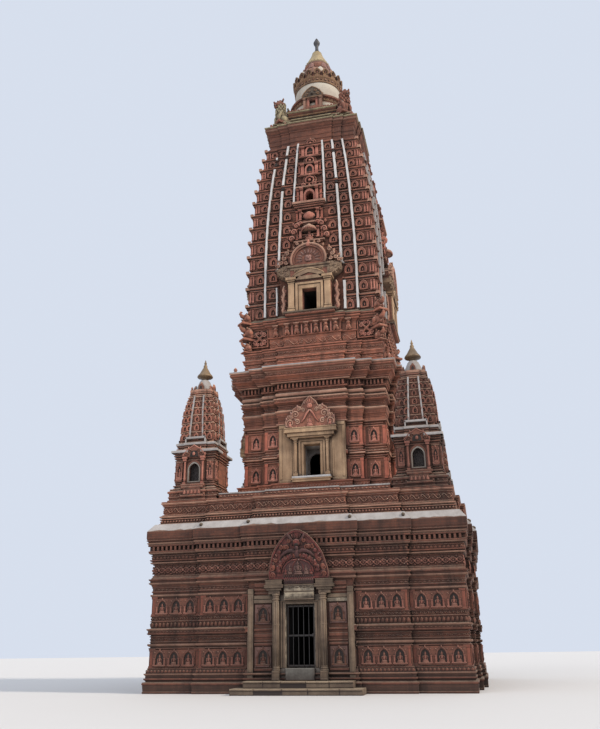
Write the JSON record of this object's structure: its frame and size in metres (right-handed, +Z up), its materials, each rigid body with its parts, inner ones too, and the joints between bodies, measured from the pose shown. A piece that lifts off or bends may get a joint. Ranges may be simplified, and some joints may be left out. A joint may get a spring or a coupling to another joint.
{
  "type": "brick shikhara buddhist temple",
  "caption": "Square brick shikhara temple: moulded hollow ground storey with barred door, corner turrets, shrine storey, curved spire and domed crown.",
  "frame": {"origin": "on the ground at the middle of the square plan, under the tip of the spire", "axes": "+Z up, -Y towards the front with the ground door, +X to the right seen from the front"},
  "size_m": [8.96, 9.48, 24.32],
  "materials": {
    "brick": "weathered terracotta brick",
    "shade_brick": "dark weathered brick",
    "terracotta": "carved terracotta",
    "stone": "weathered tan sandstone",
    "grey_stone": "worn grey stone",
    "lime": "lime wash on plaster",
    "gilt": "weathered gilt metal",
    "iron": "dark painted iron bars"
  },
  "bodies": {
    "temple": {"plinth": "shade_brick", "door_steps": "grey_stone", "threshold": "grey_stone", "door_frame": "stone", "door_pillar_left": "stone", "door_pillar_right": "stone", "door_border_left": "stone", "door_border_right": "stone", "door_torana": "terracotta", "shrine_surround": "stone", "shrine_porch": "stone", "shrine_torana": "terracotta", "shrine_inner_arch": "lime", "crown_dome": "lime", "crown_finial": "gilt", "front_wall_left": "brick", "front_wall_right": "brick", "wall_over_door": "brick", "left_wall": "brick", "right_wall": "brick", "back_wall": "brick", "terrace": "brick", "tower_base": "brick", "tower_wall_front_left": "brick", "tower_wall_front_right": "brick", "tower_wall_over_door": "brick", "tower_wall_left": "brick", "tower_wall_right": "brick", "tower_wall_back": "brick", "tower_cornice": "brick", "bracket_storey": "brick", "spire_front": "brick", "spire_right": "brick", "spire_back": "brick", "spire_left": "brick", "spire_cap": "brick", "crown_terrace": "brick", "turret_front_left": "brick", "turret_finial_front_left": "gilt", "turret_front_right": "brick", "turret_finial_front_right": "gilt", "turret_back_left": "brick", "turret_finial_back_left": "gilt", "turret_back_right": "brick", "turret_finial_back_right": "gilt", "spire_window_front": "terracotta", "spire_window_right": "terracotta", "spire_window_back": "terracotta", "spire_window_left": "terracotta", "blind_shrine_left": "stone", "blind_shrine_right": "stone", "blind_shrine_back": "stone"},
    "gate": {"door_gate": "iron"}
  },
  "joints": [
    {"name": "gate_hinge", "type": "hinge", "parent": "temple", "child": "gate", "pos_m": [-0.335, -4.215, 0.58], "axis": [0, 0, 1], "range_deg": [0, 90]}
  ]
}
